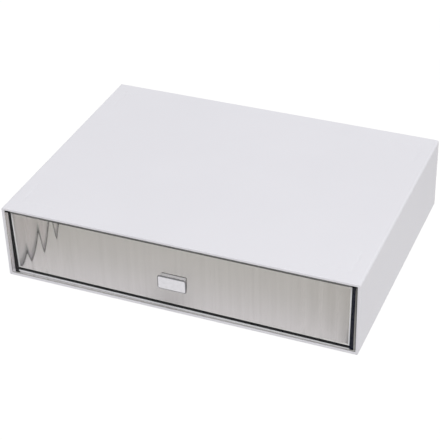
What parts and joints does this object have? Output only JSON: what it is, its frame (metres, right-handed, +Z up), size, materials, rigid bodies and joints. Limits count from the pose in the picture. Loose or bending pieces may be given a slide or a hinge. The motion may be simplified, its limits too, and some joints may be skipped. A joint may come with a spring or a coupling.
{
  "type": "stackable drawer box",
  "caption": "Low white storage case with a clear tray that slides out of its open front on a small bright pull; corner feet and sockets let cases stack.",
  "frame": {"origin": "on the floor, at the middle of the footprint from the face of the pull to the back of the case", "axes": "+Z up, +X to the right as seen from the front, the open front and the pull face -Y"},
  "size_m": [0.32, 0.241, 0.071],
  "materials": {
    "case_white": "satin white moulded plastic",
    "tray_clear": "polished clear sheet with dark bonded edges",
    "pull_bright": "bright plated",
    "pad_dark": "dark foam bonding tape"
  },
  "bodies": {
    "case": {"case_top": "case_white", "case_base": "case_white", "case_left": "case_white", "case_right": "case_white", "case_back": "case_white"},
    "tray": {"tray_front": "tray_clear", "tray_left": "tray_clear", "tray_right": "tray_clear", "tray_back": "tray_clear", "tray_floor": "tray_clear", "pull": "pull_bright", "pull_pad": "pad_dark"}
  },
  "joints": [
    {"name": "tray_slide", "type": "slide", "parent": "case", "child": "tray", "axis": [0, -1, 0], "range_m": [0, 0.18]}
  ]
}
